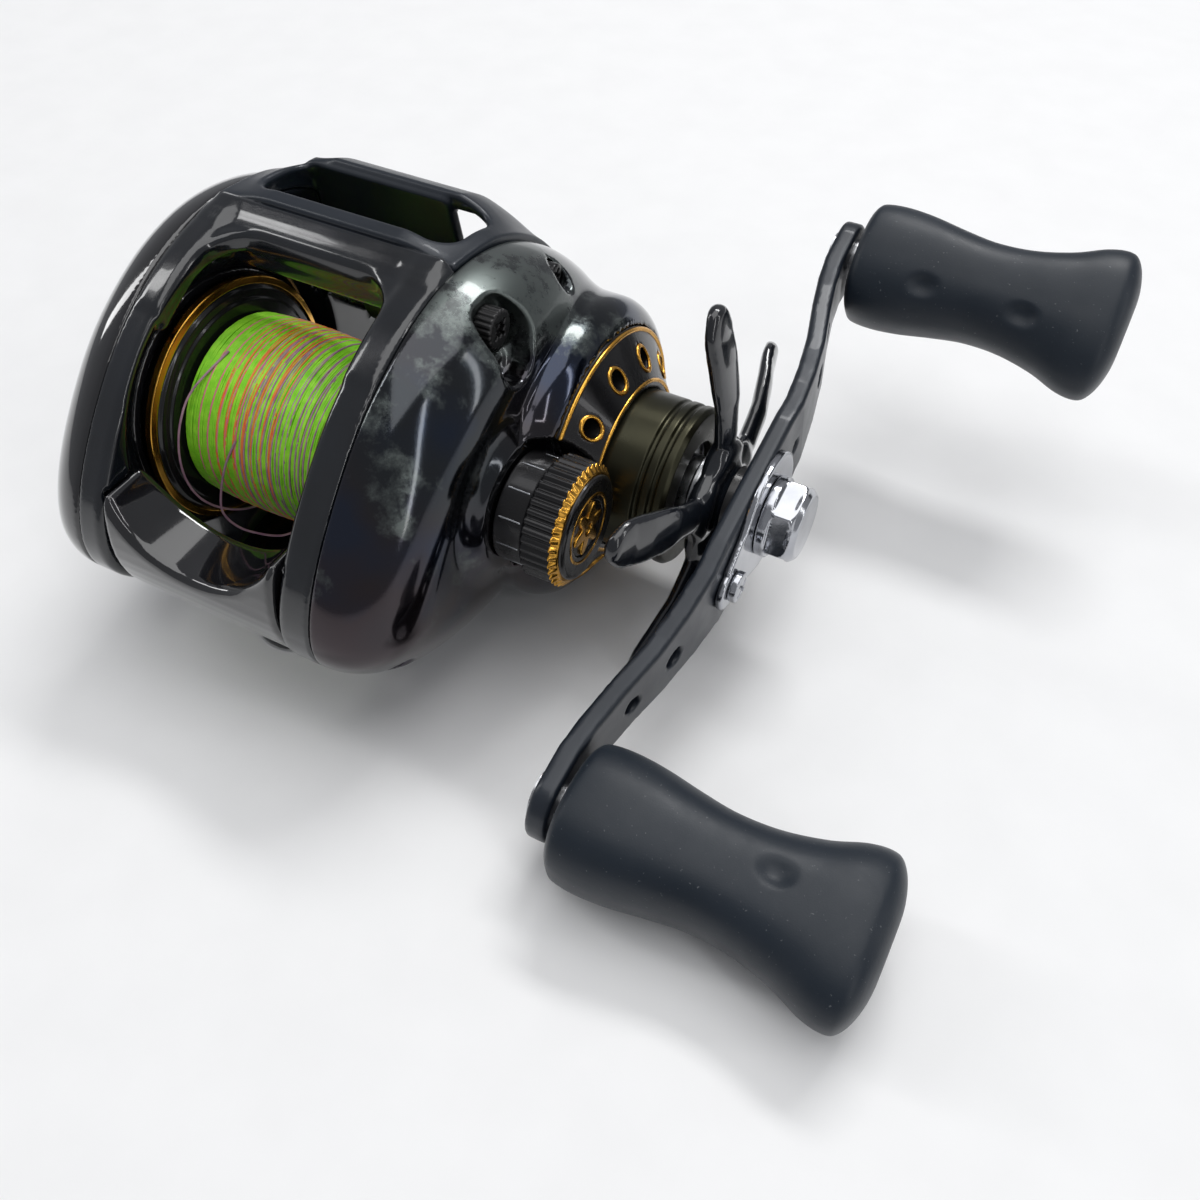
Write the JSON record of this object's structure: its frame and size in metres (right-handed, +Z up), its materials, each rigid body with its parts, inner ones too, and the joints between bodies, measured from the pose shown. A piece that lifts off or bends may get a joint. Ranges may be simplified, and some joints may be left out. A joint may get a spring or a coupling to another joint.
{
  "type": "baitcasting fishing reel",
  "caption": "Low-profile baitcasting reel with a right-hand double handle, star drag, thumb bar, level wind and a spool of braided line.",
  "frame": {"origin": "centre of the reel foot's flat underside", "axes": "+X along the spool axis to the handle, +Y to the front where the line leaves, +Z up"},
  "size_m": [0.1172, 0.1106, 0.0555],
  "materials": {
    "frame_black": "gloss black over cast aluminium",
    "hood_satin": "satin blue-black",
    "cover_chrome": "black chrome plating, partly dulled",
    "palm_gloss": "gloss black",
    "plate_black": "black anodised with gold cut edges",
    "tube_olive": "olive-black anodised",
    "spool_anodised": "black anodised with gold rim",
    "screw_black": "black oxide",
    "steel": "bright ground steel",
    "chrome": "polished",
    "brass": "machined",
    "inner_plastic": "moulded",
    "white_nylon": "moulded nylon",
    "carbon_felt": "woven carbon drag washer",
    "insert": "polished hard ring",
    "star_gloss": "gloss black",
    "knob_soft": "soft-touch slate blue",
    "braid": "braided line, lime green with coloured bands"
  },
  "bodies": {
    "reel_frame": {"frame": "frame_black", "hood": "hood_satin", "gear_side_cover": "cover_chrome", "boss_plate": "plate_black", "bearing_tube": "tube_olive", "cover_screws": "screw_black", "pinion_bearing": "steel", "shaft_bearing": "steel", "one_way_bearing": "steel", "one_way_rollers": "steel", "outer_bearing": "steel", "cap_bearing": "steel", "worm_bushings": "white_nylon", "worm_tube": "inner_plastic", "guide_bar": "steel", "yoke_posts": "steel", "yoke_springs": "steel", "clutch_spring": "steel"},
    "palm_cover": {"palm_side_cover": "palm_gloss", "palm_bearing": "steel"},
    "brake_dial": {"brake_dial": "plate_black"},
    "magnet_carrier": {"magnet_ring": "inner_plastic", "brake_magnets": "steel"},
    "release_screw": {"release_screw": "screw_black"},
    "spool": {"spool": "spool_anodised", "spool_shaft": "steel", "cross_pin": "steel", "wound_line": "braid", "line_loop_left": "braid", "line_loop_right": "braid"},
    "yoke": {"yoke": "white_nylon"},
    "pinion": {"pinion": "brass"},
    "clutch_cam": {"clutch_cam": "brass"},
    "thumb_bar": {"thumb_bar": "palm_gloss"},
    "crank": {"main_shaft": "steel", "drive_gear": "brass", "wind_gear": "white_nylon", "ratchet": "steel", "under_gear_washer": "carbon_felt", "drag_washers": "carbon_felt", "key_washers": "steel", "shaft_sleeve": "steel", "drag_springs": "steel", "handle_spacer": "screw_black", "handle_arm": "hood_satin", "handle_nut": "chrome", "nut_keeper": "chrome", "keeper_screw": "chrome", "knob_posts": "steel"},
    "star_drag": {"star_drag": "star_gloss"},
    "front_knob": {"front_knob": "knob_soft", "front_knob_bearings": "steel"},
    "rear_knob": {"rear_knob": "knob_soft", "rear_knob_bearings": "steel"},
    "worm": {"worm_shaft": "steel", "worm_cog": "white_nylon"},
    "line_guide": {"line_guide": "inner_plastic", "guide_insert": "insert", "pawl": "steel"},
    "cast_cap": {"cast_cap": "plate_black"}
  },
  "joints": [
    {"name": "handle_turn", "type": "hinge", "parent": "reel_frame", "child": "crank", "pos_m": [0, 0.0074, 0.01948], "axis": [1, 0, 0], "continuous": true},
    {"name": "star_drag_turn", "type": "hinge", "parent": "crank", "child": "star_drag", "pos_m": [0, 0.0074, 0.01948], "axis": [1, 0, 0], "range_deg": [-270, 180]},
    {"name": "front_knob_spin", "type": "hinge", "parent": "crank", "child": "front_knob", "pos_m": [0, 0.05211, 0.0303], "axis": [1, 0, 0], "continuous": true},
    {"name": "rear_knob_spin", "type": "hinge", "parent": "crank", "child": "rear_knob", "pos_m": [0, -0.03731, 0.00866], "axis": [1, 0, 0], "continuous": true},
    {"name": "spool_spin", "type": "hinge", "parent": "reel_frame", "child": "spool", "pos_m": [0, -0.011, 0.0255], "axis": [1, 0, 0], "continuous": true},
    {"name": "yoke_slide", "type": "slide", "parent": "reel_frame", "child": "yoke", "axis": [1, 0, 0], "range_m": [0, 0.0017], "deforming": ["yoke_springs"]},
    {"name": "pinion_spin", "type": "hinge", "parent": "yoke", "child": "pinion", "pos_m": [0, -0.011, 0.0255], "axis": [1, 0, 0], "continuous": true},
    {"name": "clutch_cam_turn", "type": "hinge", "parent": "reel_frame", "child": "clutch_cam", "pos_m": [0, -0.011, 0.0255], "axis": [1, 0, 0], "range_deg": [0, 8.7]},
    {"name": "thumb_bar_press", "type": "slide", "parent": "reel_frame", "child": "thumb_bar", "axis": [0, 0, -1], "range_m": [0, 0.0035]},
    {"name": "worm_spin", "type": "hinge", "parent": "reel_frame", "child": "worm", "pos_m": [0, 0.0112, 0.03347], "axis": [1, 0, 0], "continuous": true},
    {"name": "line_guide_slide", "type": "slide", "parent": "reel_frame", "child": "line_guide", "axis": [1, 0, 0], "range_m": [-0.0085, 0.0085]},
    {"name": "cast_cap_turn", "type": "hinge", "parent": "reel_frame", "child": "cast_cap", "pos_m": [0, -0.011, 0.0255], "axis": [1, 0, 0], "range_deg": [-360, 180]},
    {"name": "release_screw_turn", "type": "hinge", "parent": "reel_frame", "child": "release_screw", "pos_m": [0, -0.0046, 0.0454], "axis": [1, 0, 0], "range_deg": [-180, 360]},
    {"name": "palm_cover_off", "type": "slide", "parent": "reel_frame", "child": "palm_cover", "axis": [-1, 0, 0], "range_m": [0, 0.03]},
    {"name": "brake_dial_turn", "type": "hinge", "parent": "palm_cover", "child": "brake_dial", "pos_m": [0, -0.011, 0.0255], "axis": [1, 0, 0], "range_deg": [0, 270]},
    {"name": "magnet_slide", "type": "slide", "parent": "palm_cover", "child": "magnet_carrier", "axis": [1, 0, 0], "range_m": [0, 0.0015]}
  ],
  "couplings": [
    {"joint": "spool_spin", "follows": "handle_turn", "ratio": -6.3333},
    {"joint": "pinion_spin", "follows": "handle_turn", "ratio": -6.3333},
    {"joint": "worm_spin", "follows": "handle_turn", "ratio": -1.2308},
    {"joint": "yoke_slide", "follows": "thumb_bar_press", "ratio": 0.48571},
    {"joint": "clutch_cam_turn", "follows": "thumb_bar_press", "rad_per_m": 43.2},
    {"joint": "magnet_slide", "follows": "brake_dial_turn", "m_per_rad": 0.00027587}
  ]
}
